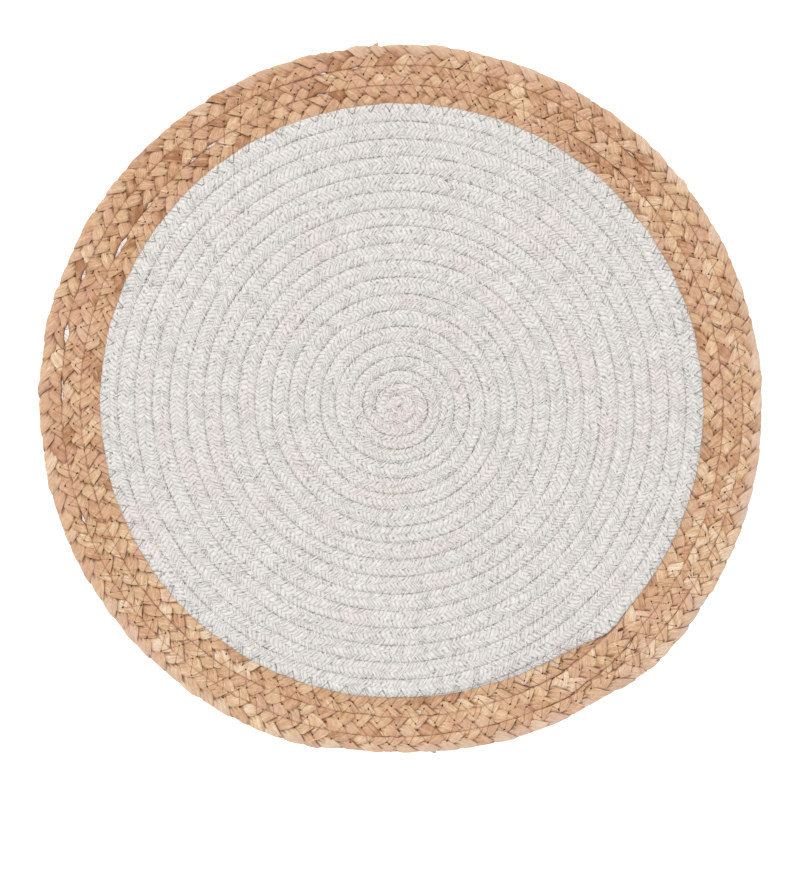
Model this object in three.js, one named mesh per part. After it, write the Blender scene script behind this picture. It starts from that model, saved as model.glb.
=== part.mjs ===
import * as THREE from 'three';

// A round placemat, lying face up: a braided cotton rope wound into a flat coil, and a plait of dried
// straw wound three times round it. Millimetres, +Z up, on the plane z = 0.
// Seen from above, both spirals run outwards clockwise. A place on a spiral is a number of turns from
// END_ANGLE, the direction where the rope ends and the plait starts and ends.

const DEGREE = Math.PI / 180;
const END_ANGLE = 318 * DEGREE;
const PART_GAP = 0.3;

// Cotton rope
const ROPE_TURNS = 18;
const ROPE_PITCH = 9.1;
const ROPE_HEIGHT = 6;
const ROPE_SEAM_HEIGHT = 4.4;
const ROPE_SIDE_HEIGHT = 3;
const ROPE_SIDE_UNDERCUT = 0.8;
const ROPE_SHOULDERS = [0.27, 0.73];
const ROPE_STEPS = 54;
const ROPE_TAPER_STEPS = 3;

// The rope starts as a small round core, and its first turns are drawn in tighter than the rest.
const CORE_RADIUS = 2.4;
const DRAWN_IN = 13.2;
const DRAWN_IN_TURNS = 4.8;

// Straw plait, of three strands, whose folded edges are the ears
const PLAIT_TURNS = 3;
const PLAIT_PITCH = 9.6;
const PLAIT_START_RADIUS = 163.3;
const PLAIT_SEAM_HEIGHT = 2.4;
const PLAIT_MIDDLE_HEIGHT = 4.2;
const EAR_CREST_HEIGHT = 4.6;
const EAR_VALLEY_HEIGHT = 3.4;
const EAR_NOTCH = 1.1;
const PLAIT_SIDE_UNDERCUT = 0.8;
const PLAIT_STEPS = 216;
const PLAIT_TAPER_STEPS = 15;
const EAR_SLANT_STEPS = 1.3;
const SLANT_RAMP_STEPS = 4;

// The coil is slightly oval, and its middle wanders as it grows.
const MIDDLES = [
  { radius: 0, x: 1.1, y: 0.1, oval: 0 },
  { radius: 12, x: 1.1, y: 0.2, oval: 0.7 },
  { radius: 160, x: 0.4, y: 1.2, oval: 0.1 },
  { radius: 200, x: 0.4, y: 1.2, oval: 0.1 },
];

// Where a seam of the hand-sewn plait strays outwards from an even spiral
const STRAYS = [
  { turns: 1, out: 0 },
  { turns: 1.05, out: 1.8 },
  { turns: 1.16, out: -0.8 },
  { turns: 1.5, out: 0.4 },
  { turns: 1.7, out: -1 },
  { turns: 1.9, out: 0 },
  { turns: 2, out: -0.4 },
  { turns: 2.02, out: 3.2 },
  { turns: 2.06, out: 4.4 },
  { turns: 2.11, out: 1.2 },
  { turns: 2.25, out: 0.4 },
  { turns: 2.43, out: 2.6 },
  { turns: 2.6, out: 0.3 },
  { turns: 3, out: -0.4 },
  { turns: 3.05, out: 2.2 },
  { turns: 3.14, out: -2.3 },
  { turns: 3.22, out: 0.4 },
  { turns: 3.43, out: 2.5 },
  { turns: 3.6, out: 1 },
  { turns: 4, out: 0.3 },
];

// The value of a column at a key, on straight lines between the rows of a table
function lookUp(rows, keyName, key, column) {
  const above = rows.findIndex((row) => row[keyName] >= key);
  if (above === 0) return rows[0][column];
  if (above < 0) return rows[rows.length - 1][column];
  const low = rows[above - 1];
  const high = rows[above];
  const share = (key - low[keyName]) / (high[keyName] - low[keyName]);
  return THREE.MathUtils.lerp(low[column], high[column], share);
}

// The point at so many turns along a spiral, so far from the middle
function placed(turns, radius, height) {
  const angle = END_ANGLE - turns * 2 * Math.PI;
  const oval = lookUp(MIDDLES, 'radius', radius, 'oval');
  const x = lookUp(MIDDLES, 'radius', radius, 'x') + (radius + oval) * Math.cos(angle);
  const y = lookUp(MIDDLES, 'radius', radius, 'y') + (radius - oval) * Math.sin(angle);
  return [x, y, height];
}

// Radius of the groove along the rope's inner side
function ropeSeam(turns) {
  return CORE_RADIUS + ROPE_PITCH * turns - DRAWN_IN * Math.tanh(turns / DRAWN_IN_TURNS);
}

// Radius of the coil's outline, where the rope's tapered end lies outside the turn before it
function coilOutline(turns) {
  const taper = ROPE_TAPER_STEPS / ROPE_STEPS;
  return ropeSeam(ROPE_TURNS + turns) + ROPE_PITCH * Math.max(0, 1 - turns / taper);
}

// Radius of the seam along the plait's inner side. Its first turn follows the coil.
function plaitSeam(turns) {
  if (turns <= 1) return coilOutline(turns) + PART_GAP;
  return PLAIT_START_RADIUS + PLAIT_PITCH * (turns - 1) + lookUp(STRAYS, 'turns', turns, 'out');
}

// Collects the points and faces of one closed body. Two corners of a face may be the same point.
class Body {
  constructor() {
    this.points = [];
    this.faces = [];
  }

  point(place) {
    this.points.push(...place);
    return this.points.length / 3 - 1;
  }

  face(a, b, c) {
    if (a !== b && b !== c && c !== a) this.faces.push(a, b, c);
  }

  quad(a, b, c, d) {
    this.face(a, b, c);
    this.face(a, c, d);
  }

  // Top faces between two rows of points that run outwards, the second row clockwise of the first
  band(row, next) {
    for (let p = 0; p + 1 < row.length; p += 1) this.quad(row[p], next[p], next[p + 1], row[p + 1]);
  }

  // A wall that hangs from a clockwise loop down to a second loop, facing away from the middle
  wall(upper, lower) {
    upper.forEach((top, k) => {
      const n = (k + 1) % upper.length;
      this.quad(top, upper[n], lower[n], lower[k]);
    });
  }

  mesh(name, material) {
    const geometry = new THREE.BufferGeometry();
    geometry.setAttribute('position', new THREE.Float32BufferAttribute(this.points, 3));
    geometry.setIndex(this.faces);
    geometry.computeVertexNormals();
    const mesh = new THREE.Mesh(geometry, material);
    mesh.name = name;
    return mesh;
  }
}

// The cotton coil: ridged where the rope's turns lie, grooved between them, and flat underneath
function cottonCoil() {
  const body = new Body();
  const middle = body.point(placed(0, 0, ROPE_HEIGHT));
  const lastSeam = (ROPE_TURNS + 1) * ROPE_STEPS;
  const firstEdge = ROPE_TURNS * ROPE_STEPS + ROPE_TAPER_STEPS;

  const seams = [];
  for (let s = 0; s <= lastSeam; s += 1) {
    const turns = s / ROPE_STEPS;
    const height = s >= firstEdge ? ROPE_SIDE_HEIGHT : ROPE_SEAM_HEIGHT;
    seams.push(body.point(placed(turns, ropeSeam(turns), height)));
  }
  for (let k = 1; k < ROPE_TAPER_STEPS; k += 1) {
    const turns = k / ROPE_STEPS;
    seams.push(body.point(placed(turns, coilOutline(turns), ROPE_SIDE_HEIGHT)));
  }
  seams.push(seams[firstEdge]);

  const rows = [];
  for (let s = -ROPE_STEPS; s <= firstEdge; s += 1) {
    const turns = s / ROPE_STEPS;
    const inside = s < 0 ? middle : seams[s];
    const outside = seams[s + ROPE_STEPS];
    const inner = s < 0 ? 0 : ropeSeam(turns);
    const outer = s > firstEdge - ROPE_TAPER_STEPS ? coilOutline(turns - ROPE_TURNS) : ropeSeam(turns + 1);
    const shoulder = (share) => {
      if (s === firstEdge || s === -ROPE_STEPS) return inside;
      return body.point(placed(turns, THREE.MathUtils.lerp(inner, outer, share), ROPE_HEIGHT));
    };
    const shoulders = ROPE_SHOULDERS.map((share, k) => (s < 0 && k === 0 ? middle : shoulder(share)));
    rows.push([inside, ...shoulders, outside]);
  }
  rows.slice(1).forEach((next, k) => body.band(rows[k], next));

  const edge = seams.slice(firstEdge, -1);
  const foot = edge.map((_, k) => {
    const turns = (k + ROPE_TAPER_STEPS) / ROPE_STEPS;
    return body.point(placed(turns, coilOutline(turns % 1) - ROPE_SIDE_UNDERCUT, 0));
  });
  body.wall(edge, foot);
  const under = body.point(placed(0, 0, 0));
  foot.forEach((corner, k) => body.face(under, corner, foot[(k + 1) % foot.length]));

  return body.mesh('cotton_coil', new THREE.MeshStandardMaterial({
    color: new THREE.Color(0.79, 0.77, 0.73), roughness: 0.95, metalness: 0,
  }));
}

// The plait border: three rows of slanting ears that meet along each row's middle, half an ear apart
function plaitBorder() {
  const body = new Body();
  const lastRow = PLAIT_TURNS * PLAIT_STEPS + PLAIT_TAPER_STEPS;
  const tips = [0, PLAIT_STEPS, lastRow, lastRow + PLAIT_STEPS];
  const slant = (s) => EAR_SLANT_STEPS * Math.min(1, ...tips.map((tip) => Math.abs(s - tip) / SLANT_RAMP_STEPS));
  const seamTurns = (s) => (s - slant(s)) / PLAIT_STEPS;
  const taperedWidth = (s) => PLAIT_PITCH * (lastRow + PLAIT_STEPS - s) / PLAIT_TAPER_STEPS;

  // Radius at seam point s. The last turn's outline ends on the seam inside it.
  const seamRadius = (s) => {
    const turns = seamTurns(s);
    if (turns <= PLAIT_TURNS + 1) return plaitSeam(turns);
    return plaitSeam(turns - 1) + taperedWidth(s);
  };
  const outlineRadius = (s) => seamRadius(s) - (s % 2 === 0 ? EAR_NOTCH : 0);

  const seams = [];
  for (let s = 0; s < lastRow + PLAIT_STEPS; s += 1) {
    const radius = s > lastRow ? outlineRadius(s) : seamRadius(s);
    seams.push(s === PLAIT_STEPS ? seams[0] : body.point(placed(seamTurns(s), radius, PLAIT_SEAM_HEIGHT)));
  }
  seams.push(seams[lastRow]);

  const rows = [];
  for (let s = 0; s <= lastRow; s += 1) {
    const inside = seams[s];
    const outside = seams[s + PLAIT_STEPS];
    if (inside === outside) {
      rows.push([inside, inside, inside, inside, inside]);
      continue;
    }
    const between = (slantShare, share, height) => {
      const turns = THREE.MathUtils.lerp(s / PLAIT_STEPS, seamTurns(s), slantShare);
      const radius = THREE.MathUtils.lerp(seamRadius(s), seamRadius(s + PLAIT_STEPS), share);
      return body.point(placed(turns, radius, height));
    };
    const [innerEar, outerEar] = s % 2 === 0
      ? [EAR_CREST_HEIGHT, EAR_VALLEY_HEIGHT]
      : [EAR_VALLEY_HEIGHT, EAR_CREST_HEIGHT];
    rows.push([
      inside,
      between(0.5, 0.25, innerEar),
      between(0, 0.5, PLAIT_MIDDLE_HEIGHT),
      between(0.5, 0.75, outerEar),
      outside,
    ]);
  }
  rows.slice(1).forEach((next, k) => body.band(rows[k], next));

  // The two loops of seam points that are the border's edges, and their feet on the table
  const footOf = (s, inset) => body.point(placed(seamTurns(s), seamRadius(s) - inset, 0));
  const steps = Array.from({ length: PLAIT_STEPS }, (_, k) => k);
  const inner = steps.map((k) => seams[k]);
  const innerFoot = steps.map((k) => footOf(k, 0));
  const outer = steps.map((k) => seams[lastRow + k]);
  const outerFoot = steps.map((k) => footOf(lastRow + k, EAR_NOTCH + PLAIT_SIDE_UNDERCUT));
  body.wall(outer, outerFoot);
  body.wall([...inner].reverse(), [...innerFoot].reverse());
  steps.forEach((k) => {
    const across = (k + PLAIT_TAPER_STEPS) % PLAIT_STEPS;
    const acrossNext = (across + 1) % PLAIT_STEPS;
    const next = (k + 1) % PLAIT_STEPS;
    body.quad(innerFoot[across], outerFoot[k], outerFoot[next], innerFoot[acrossNext]);
  });

  return body.mesh('plait_border', new THREE.MeshStandardMaterial({
    color: new THREE.Color(0.68, 0.43, 0.25), roughness: 0.7, metalness: 0,
  }));
}

// The mat stands on the origin, at the middle of its own box.
function mat() {
  const group = new THREE.Group();
  group.add(cottonCoil(), plaitBorder());
  const middle = new THREE.Box3().setFromObject(group).getCenter(new THREE.Vector3());
  group.position.set(-middle.x, -middle.y, 0);
  return group;
}

export default mat();
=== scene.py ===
import math

import bpy
import numpy as np
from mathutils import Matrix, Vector
from mathutils.bvhtree import BVHTree


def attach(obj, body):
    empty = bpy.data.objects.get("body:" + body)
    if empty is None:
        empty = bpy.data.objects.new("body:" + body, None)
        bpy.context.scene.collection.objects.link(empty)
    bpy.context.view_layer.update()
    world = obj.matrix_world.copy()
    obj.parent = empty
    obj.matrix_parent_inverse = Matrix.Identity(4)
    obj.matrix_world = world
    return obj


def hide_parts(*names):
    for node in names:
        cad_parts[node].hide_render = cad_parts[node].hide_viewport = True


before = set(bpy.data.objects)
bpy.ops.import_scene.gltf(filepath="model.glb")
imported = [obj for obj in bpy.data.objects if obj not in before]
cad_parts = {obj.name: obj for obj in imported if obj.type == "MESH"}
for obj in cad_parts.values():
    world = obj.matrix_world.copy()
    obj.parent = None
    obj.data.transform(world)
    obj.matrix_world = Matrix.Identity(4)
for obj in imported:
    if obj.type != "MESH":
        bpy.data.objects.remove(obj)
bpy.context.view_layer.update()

# A round placemat: a braided cotton rope wound into a flat coil and sewn with a zigzag thread, and a
# three-strand straw plait wound three times round it. Lengths are in millimetres until a mesh is made.
# A place along a spiral is given in turns from its start.
MM = 0.001
TAU = 2 * math.pi

# Both spirals run outwards clockwise from END_ANGLE, as in the part's source. The rope's end and the
# plait's seams follow finer tables here.
END_ANGLE = math.radians(318)
MIDDLE_SHIFT = (-2.0104, -4.9818)
ROPE_TURNS = 18
ROPE_PITCH = 9.1
CORE_RADIUS = 2.4
CORE_GAP = 0.03
DRAWN_IN = 13.2
DRAWN_IN_TURNS = 4.8
PART_GAP = 0.3
PLAIT_TURNS = 3
PLAIT_PITCH = 9.6
PLAIT_START_RADIUS = 163.3
PLAIT_TAPER = 0.036
PLAIT_END = 3.047
PLAIT_TUCK = 0.8
PLAIT_TUCK_TURNS = 0.02
NARROWEST = 0.02
TRACK_POINTS = 60001

# radius, x, y, oval
MIDDLES = np.array([
    (0, 1.1, 0.1, 0),
    (12, 1.1, 0.2, 0.7),
    (160, 0.4, 1.2, 0.1),
    (200, 0.4, 1.2, 0.1),
]).T
# turns, how far the plait's seam strays outwards
STRAYS = np.array([
    (1, 0), (1.05, 1.8), (1.16, -0.2), (1.5, 0.4), (1.7, -1), (1.9, 0),
    (2, 1), (2.02, 4), (2.03, 4.6), (2.039, 4.1), (2.045, 5.8), (2.053, 5.3), (2.067, 3.6),
    (2.11, 1.5), (2.25, 0.6), (2.39, 0.5), (2.43, 2.3), (2.6, 0.3),
    (3, 0.9), (3.016, 1.6), (3.03, 3.9), (3.036, 5.2), (3.067, 4.2), (3.084, 2.4), (3.105, 0.9),
    (3.126, -0.5), (3.16, -0.6), (3.17, 1.6), (3.2, 2), (3.25, 1.6), (3.43, 2.9), (3.6, 1.2), (4, 0.8),
]).T
# turns past the last full one, how wide the rope's end is
ROPE_END = np.array([
    (0, 9.1), (0.008, 10.1), (0.016, 10.1), (0.028, 6.3), (0.042, 3.9), (0.063, 2.6), (0.084, 1.4),
    (0.125, 0.6), (0.15, 0),
]).T
ROPE_LAST = ROPE_TURNS + 0.12


def placed(turns, radius):
    """x and y at so many turns along a spiral, so far from the middle."""
    angle = END_ANGLE - turns * TAU
    x, y, oval = (np.interp(radius, MIDDLES[0], column) for column in MIDDLES[1:])
    return (
        x + (radius + oval) * np.cos(angle) + MIDDLE_SHIFT[0],
        y + (radius - oval) * np.sin(angle) + MIDDLE_SHIFT[1],
    )


def rope_seam(turns):
    """The radius of the seam on the inside of the rope."""
    return CORE_RADIUS + ROPE_PITCH * turns - DRAWN_IN * np.tanh(turns / DRAWN_IN_TURNS)


def coil_outline(turns):
    """The radius of the coil's outline, so many turns past the rope's last full one."""
    return rope_seam(ROPE_TURNS + turns) + np.interp(turns, ROPE_END[0], ROPE_END[1])


def plait_seam(turns):
    """The radius of the seam on the inside of the plait."""
    later = PLAIT_START_RADIUS + PLAIT_PITCH * (turns - 1) + np.interp(turns, STRAYS[0], STRAYS[1])
    return np.where(turns <= 1, coil_outline(turns) + PART_GAP, later)


def rope_edges(turns):
    """The radii between which the rope lies."""
    inner = np.maximum(rope_seam(turns), CORE_GAP)
    outer = np.where(turns > ROPE_TURNS, coil_outline(turns - ROPE_TURNS), rope_seam(turns + 1))
    return inner, np.maximum(outer, inner + NARROWEST)


def plait_edges(turns):
    """The radii between which the plait lies. Its end is laid over the row inside it."""
    inner, outer = plait_seam(turns), plait_seam(turns + 1)
    past = np.clip((turns - PLAIT_TURNS) / PLAIT_TAPER, 0, 1)
    outer = np.where(turns > PLAIT_TURNS, inner + PLAIT_PITCH * (1 - past ** 2), outer)
    inner = inner + (plait_seam(turns - 1) - inner) * past ** 1.5
    tucked = PLAIT_TUCK * np.clip((1 + PLAIT_TUCK_TURNS - turns) / PLAIT_TUCK_TURNS, 0, 1)
    return inner - tucked, np.maximum(outer, inner + NARROWEST)


def thread_line(turns):
    """The seam that the tan thread follows. At the plait's end it is the edge that lies on the row inside."""
    return np.where(turns > PLAIT_TURNS, plait_edges(turns)[0], plait_seam(turns))


class Track:
    """Lengths along a spiral, measured on the line midway between two radii."""

    def __init__(self, first, last, edges):
        self.turns = np.linspace(first, last, TRACK_POINTS)
        inner, outer = edges(self.turns)
        middle = (inner + outer) / 2
        steps = np.diff(self.turns) * TAU * (middle[1:] + middle[:-1]) / 2
        self.lengths = np.concatenate([[0], np.cumsum(steps)])
        self.total = self.lengths[-1]

    def turns_at(self, length):
        return np.interp(length, self.lengths, self.turns)


def seam_track(first, last, seam):
    """The track along a single seam."""
    return Track(first, last, lambda turns: (seam(turns), seam(turns)))


# The shortest and the longest wave of a wandering line, as shares of its wavelength
WAVE_SHARES = 0.5, 2.2


def wander(rng, at, wavelength, waves=9):
    """A smooth random line of about unit height through the places in at."""
    total = np.zeros_like(at, dtype=float)
    for _ in range(waves):
        total += np.sin(at * TAU / (wavelength * rng.uniform(*WAVE_SHARES)) + rng.uniform(0, TAU))
    return total / math.sqrt(waves / 2)


def varied(rng, at, change):
    """A smooth random column. change is how much it wanders, and over how many millimetres."""
    much, wavelength = change
    return much * wander(rng, at, wavelength)[:, None]


def triangle(x):
    """Between -1 and 1 and back, with period 2."""
    return 2 * np.abs(np.mod(x, 2) - 1) - 1


# Meshes
def make_mesh(name, points, faces, material, columns=None):
    """A smooth mesh object from an array of points in millimetres and arrays of faces."""
    mesh = bpy.data.meshes.new(name)
    mesh.vertices.add(len(points))
    mesh.vertices.foreach_set("co", (points * MM).astype(np.float32).ravel())
    sizes = np.concatenate([np.full(len(f), f.shape[1]) for f in faces])
    loops = np.concatenate([f.ravel() for f in faces]).astype(np.int32)
    mesh.loops.add(len(loops))
    mesh.loops.foreach_set("vertex_index", loops)
    mesh.polygons.add(len(sizes))
    starts = np.concatenate([[0], np.cumsum(sizes)[:-1]])
    mesh.polygons.foreach_set("loop_start", starts.astype(np.int32))
    mesh.polygons.foreach_set("use_smooth", np.ones(len(sizes), dtype=bool))
    for key, values in (columns or {}).items():
        kind, field = ("FLOAT_VECTOR", "vector") if values.ndim == 2 else ("FLOAT", "value")
        attribute = mesh.attributes.new(key, kind, "POINT")
        attribute.data.foreach_set(field, values.astype(np.float32).ravel())
    mesh.update(calc_edges=True)
    mesh.validate()
    obj = bpy.data.objects.new(name, mesh)
    bpy.context.scene.collection.objects.link(obj)
    mesh.materials.append(material)
    return obj


def tube_faces(rows, ring, first=0):
    """Quads round a tube whose points come ring by ring, starting with the point numbered first.

    They face out where each ring turns clockwise seen along the tube.
    """
    row = np.arange(rows - 1)[:, None] * ring + first
    k = np.arange(ring)[None, :]
    n = (k + 1) % ring
    return np.stack([row + k, row + ring + k, row + ring + n, row + n], -1).reshape(-1, 4)


def cap_faces(middle, ring, first, flip):
    """Triangles from a middle point to the ring that starts at first."""
    k = np.arange(ring)
    n = (k + 1) % ring
    a, b = (first + k, first + n) if flip else (first + n, first + k)
    return np.stack([np.full(ring, middle), a, b], -1)


def closed_tube(grid, first=0):
    """Points and faces of a tube from a grid of points, ring by ring, with a fan over each end."""
    rows, ring, _ = grid.shape
    count = rows * ring
    points = np.concatenate([grid.reshape(-1, 3), [grid[0].mean(0), grid[-1].mean(0)]])
    faces = [
        tube_faces(rows, ring, first),
        cap_faces(first + count, ring, first, True),
        cap_faces(first + count + 1, ring, first + count - ring, False),
    ]
    return points, faces


def tube_mesh(name, grid, material, columns):
    """A closed tube. Each of the columns holds a value or a vector for every point of its grid."""
    points, faces = closed_tube(grid)
    wide = {}
    for key, values in columns.items():
        flat = values.reshape(len(points) - 2, -1)
        flat = np.concatenate([flat, flat[:1], flat[-1:]])
        wide[key] = flat if flat.shape[1] > 1 else flat[:, 0]
    return make_mesh(name, points, faces, material, wide)


def trees_of(objects):
    """A search tree for each object, for rays that look for its surface."""
    graph = bpy.context.evaluated_depsgraph_get()
    return [BVHTree.FromObject(obj, graph) for obj in objects]


# Materials
class Nodes:
    """A material's node tree, with a short way to add and link nodes."""

    def __init__(self, name):
        self.material = bpy.data.materials.new(name)
        self.material.use_nodes = True
        self.tree = self.material.node_tree
        self.shader = self.tree.nodes["Principled BSDF"]

    def add(self, kind, inputs=None, **settings):
        node = self.tree.nodes.new(kind)
        for key, value in settings.items():
            setattr(node, key, value)
        for key, value in (inputs or {}).items():
            self.feed(node.inputs[key], value)
        return node

    def feed(self, socket, value):
        if isinstance(value, bpy.types.NodeSocket):
            self.tree.links.new(value, socket)
        else:
            socket.default_value = value

    def surface(self, inputs):
        """Feeds the shader's inputs and gives the finished material."""
        for key, value in inputs.items():
            self.feed(self.shader.inputs[key], value)
        return self.material

    def attribute(self, name, output="Fac"):
        return self.add("ShaderNodeAttribute", attribute_name=name).outputs[output]

    def math(self, operation, *values):
        node = self.add("ShaderNodeMath", operation=operation)
        for socket, value in zip(node.inputs, values):
            self.feed(socket, value)
        return node.outputs[0]

    def place(self, scale):
        """Object coordinates, so many to the metre."""
        out = self.add("ShaderNodeTexCoord").outputs["Object"]
        return self.add("ShaderNodeVectorMath", {0: out, 3: scale}, operation="SCALE").outputs[0]

    def noise(self, vector, scale=1.0, detail=2.0, roughness=0.5):
        node = self.add("ShaderNodeTexNoise", {
            "Vector": vector, "Scale": scale, "Detail": detail, "Roughness": roughness,
        })
        return node.outputs["Fac"]

    def spread(self, value, low, high, to_low=0.0, to_high=1.0):
        """A value's range from low to high, spread over another range and cut off at its ends."""
        node = self.add("ShaderNodeMapRange", {
            "Value": value, "From Min": low, "From Max": high, "To Min": to_low, "To Max": to_high,
        })
        return node.outputs["Result"]

    def mix(self, factor, a, b):
        node = self.add("ShaderNodeMix", data_type="RGBA", blend_type="MIX", clamp_factor=True)
        self.feed(node.inputs[0], factor)
        self.feed(node.inputs[6], a)
        self.feed(node.inputs[7], b)
        return node.outputs[2]

    def ramp(self, factor, stops):
        node = self.add("ShaderNodeValToRGB", {"Fac": factor})
        elements = node.color_ramp.elements
        while len(elements) < len(stops):
            elements.new(0.5)
        for element, (at, colour) in zip(elements, stops):
            element.position = at
            element.color = colour
        return node.outputs["Color"]

    def bump(self, height, distance, strength=1.0, normal=None):
        node = self.add("ShaderNodeBump", {
            "Height": height, "Distance": distance, "Strength": strength,
        })
        if normal is not None:
            self.feed(node.inputs["Normal"], normal)
        return node.outputs["Normal"]


def rgb(red, green, blue):
    """A colour as seen, 0 to 255, as linear light."""
    def linear(c):
        c /= 255
        return c / 12.92 if c <= 0.04045 else ((c + 0.055) / 1.055) ** 2.4
    return (linear(red), linear(green), linear(blue), 1)


COTTON_DULL, COTTON_BRIGHT = rgb(212, 208, 203), rgb(233, 229, 225)
COTTON_COOL, COTTON_PINK = rgb(218, 220, 213), rgb(227, 212, 210)
# The gap colour and the last colour here are painted shade: in the gaps between yarns, and where the
# attribute shade says
COTTON_GAP_SHADE, COTTON_FIBRE, COTTON_SHADE_COLOUR = rgb(140, 135, 129), rgb(196, 192, 186), rgb(120, 114, 108)
MOST_COOL = 0.25
YARN_GAP_SHADE = 0.62
FIBRE_STRENGTH = 0.08


def cotton_material(name):
    """Off-white yarns between dull and bright, with painted shade in the gaps between them, cool patches, and
    more painted shade in specks and on the rope's sides.
    """
    n = Nodes(name)
    wave = n.math("COSINE", n.math("MULTIPLY", n.attribute("yarn"), TAU))
    lift = n.spread(wave, -1, 1)
    per_yarn = n.noise(n.attribute("place", "Vector"), scale=1.0, detail=2)
    cool = n.noise(n.place(1), scale=55, detail=2)
    broken = n.noise(n.place(1), scale=520, detail=2)
    fibre = n.noise(n.place(1), scale=2600, detail=3)
    # Painted shade in the gaps between yarns, broken up here and there and calmer at the core
    gap_shade = n.math("MULTIPLY", n.math("POWER", n.math("SUBTRACT", 1, lift), 3), YARN_GAP_SHADE)
    gap_shade = n.math("MULTIPLY", gap_shade, n.spread(broken, 0.34, 0.62, 0.2, 1))
    gap_shade = n.math("MULTIPLY", gap_shade, n.math("SUBTRACT", 1, n.attribute("calm")))
    fuzz = n.math("MULTIPLY", n.spread(fibre, 0.4, 0.7), FIBRE_STRENGTH)
    colour = n.mix(n.spread(per_yarn, 0.3, 0.7), COTTON_DULL, COTTON_BRIGHT)
    colour = n.mix(n.spread(cool, 0.5, 0.66, 0, MOST_COOL), colour, COTTON_COOL)
    colour = n.mix(n.attribute("blush"), colour, COTTON_PINK)
    colour = n.mix(gap_shade, colour, COTTON_GAP_SHADE)
    colour = n.mix(fuzz, colour, COTTON_FIBRE)
    # Painted shade from the attribute shade: dark specks and the rope's sides
    colour = n.mix(n.attribute("shade"), colour, COTTON_SHADE_COLOUR)
    height = n.math("ADD", lift, n.math("MULTIPLY", fibre, 0.5))
    return n.surface({
        "Base Color": colour,
        "Normal": n.bump(height, 0.00025, 0.7),
        "Roughness": 0.92,
        "Specular IOR Level": 0.25,
        "Sheen Weight": 0.12,
        "Sheen Roughness": 0.5,
    })


# tone, colour
STRAW_TONES = [
    (0.0, rgb(156, 106, 68)),
    (0.18, rgb(194, 145, 108)),
    (0.38, rgb(214, 170, 133)),
    (0.58, rgb(221, 182, 144)),
    (0.78, rgb(232, 197, 159)),
    (1.0, rgb(242, 218, 188)),
]
STRAW_PINK, STRAW_RIM_SHADE = rgb(214, 168, 144), rgb(218, 191, 171)
STRAW_CREASE_SHADE, STRAW_GRAIN, STRAW_SHADE_COLOUR = rgb(164, 114, 76), rgb(180, 132, 92), rgb(126, 76, 42)
BLOTCHES, STREAKS, BANDS = 0.17, 0.16, 0.11
MOST_PINK = 0.6
CREASE_SHADE_STRENGTH = 0.5
GRAIN_STRENGTH = 0.5
DARKEST = 0.85


def straw_material(name):
    """Dried leaf in tones from brown to cream, streaked along its grain, with painted shade in its creases,
    crevices, edges and seams and a greyish painted shade on the mat's outer rim.
    """
    n = Nodes(name)
    grain = n.attribute("grain", "Vector")
    streak = n.noise(grain, scale=1.0, detail=4, roughness=0.65)
    fine = n.noise(grain, scale=4.5, detail=2)
    band = n.noise(n.attribute("band", "Vector"), scale=1.0, detail=1)
    blotch = n.noise(n.place(1), scale=240, detail=4, roughness=0.6)
    wrinkle = n.noise(n.place(1), scale=420, detail=3)
    pink = n.noise(n.place(1), scale=75, detail=2)
    crease = n.math("ABSOLUTE", n.math("SUBTRACT", n.noise(grain, scale=1.7, detail=1), 0.5))
    crease = n.spread(crease, 0, 0.05, 1, 0)
    tone = n.attribute("tone")
    for part, low, high, strength in [
        (blotch, 0.3, 0.7, BLOTCHES),
        (streak, 0.3, 0.7, STREAKS),
        (band, 0.4, 0.6, BANDS),
    ]:
        tone = n.math("ADD", tone, n.spread(part, low, high, -strength, strength))
    colour = n.ramp(n.math("MAXIMUM", n.math("MINIMUM", tone, 1), 0), STRAW_TONES)
    colour = n.mix(n.spread(pink, 0.46, 0.66, 0, MOST_PINK), colour, STRAW_PINK)
    # Painted shade in the creases, which the bump also sinks
    colour = n.mix(n.math("MULTIPLY", crease, CREASE_SHADE_STRENGTH), colour, STRAW_CREASE_SHADE)
    colour = n.mix(n.spread(fine, 0.45, 0.75, 0, GRAIN_STRENGTH), colour, STRAW_GRAIN)
    # Greyish painted shade on the mat's outer rim and on the tips of leaf
    colour = n.mix(n.attribute("rim"), colour, STRAW_RIM_SHADE)
    # Painted shade from the attribute shade: in crevices under other strands, along the strands' edges and in
    # the seams between rows
    colour = n.mix(n.spread(n.attribute("shade"), 0.14, 0.66, 0, DARKEST), colour, STRAW_SHADE_COLOUR)
    height = n.math("ADD", streak, n.math("MULTIPLY", fine, 0.4))
    height = n.math("SUBTRACT", height, n.math("MULTIPLY", crease, 0.4))
    return n.surface({
        "Base Color": colour,
        "Normal": n.bump(wrinkle, 0.001, 0.8, n.bump(height, 0.0006, 0.6)),
        "Roughness": n.spread(streak, 0.3, 0.7, 0.5, 0.7),
        "Specular IOR Level": 0.35,
    })


def thread_material(name, light, dark, other):
    """Thread that changes to another colour where the attribute "change" says so."""
    n = Nodes(name)
    fuzz = n.noise(n.place(1), scale=1500, detail=2)
    colour = n.mix(n.spread(fuzz, 0.3, 0.7), light, dark)
    return n.surface({
        "Base Color": n.mix(n.attribute("change"), colour, other),
        "Normal": n.bump(fuzz, 0.0001, 0.6),
        "Roughness": 0.75,
        "Specular IOR Level": 0.3,
    })


FLOOR_DULL, FLOOR_BRIGHT = (0.93, 0.93, 0.93, 1), (0.95, 0.95, 0.95, 1)
FLOOR_GLOW = 0.55


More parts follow.
